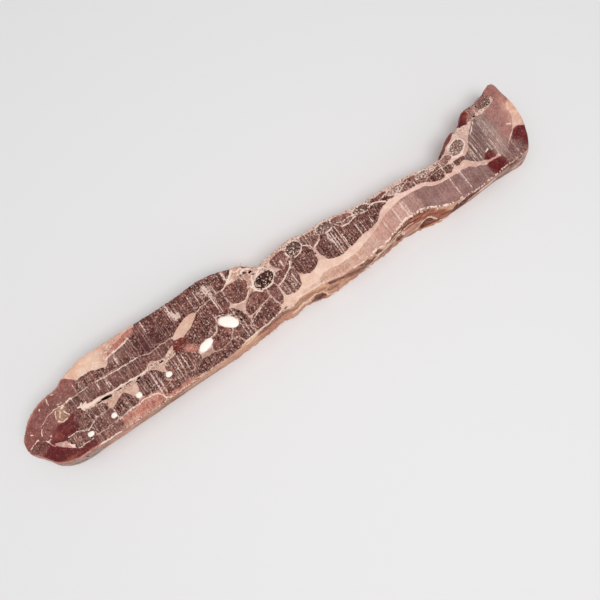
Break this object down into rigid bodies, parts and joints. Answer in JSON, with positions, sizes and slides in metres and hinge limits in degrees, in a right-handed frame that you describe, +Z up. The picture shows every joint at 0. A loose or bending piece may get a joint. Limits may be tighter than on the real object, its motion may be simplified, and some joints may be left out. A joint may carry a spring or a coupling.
{
  "type": "raw pork rib strip",
  "caption": "Frozen raw strip of pork ribs, sawn straight across the rack, with rib ends in marbled meat and fat.",
  "frame": {"origin": "centre of the underside of the strip's box, on the surface it lies on", "axes": "+X along the strip from the narrow tail to the blunt head, +Y towards the far wall, +Z up out of the upper saw cut"},
  "size_m": [0.5112, 0.0774, 0.032],
  "materials": {
    "meat": "frozen raw meat: dark granular muscle in pinkish beige fat, frosted and sawn",
    "bone": "sawn rib bone: pale rim round dark granular marrow",
    "gristle": "wet white gristle"
  },
  "bodies": {
    "root": {"meat": "meat", "rib_gristle_01": "gristle", "rib_gristle_02": "gristle", "rib_gristle_03": "gristle", "rib_gristle_04": "gristle", "rib_gristle_05": "gristle", "rib_gristle_06": "gristle", "rib_bone_07": "bone", "rib_bone_08": "bone", "rib_bone_09": "bone", "rib_bone_10": "bone", "rib_bone_11": "bone", "rib_bone_12": "bone", "rib_bone_13": "bone", "rib_bone_14": "bone"}
  },
  "joints": []
}
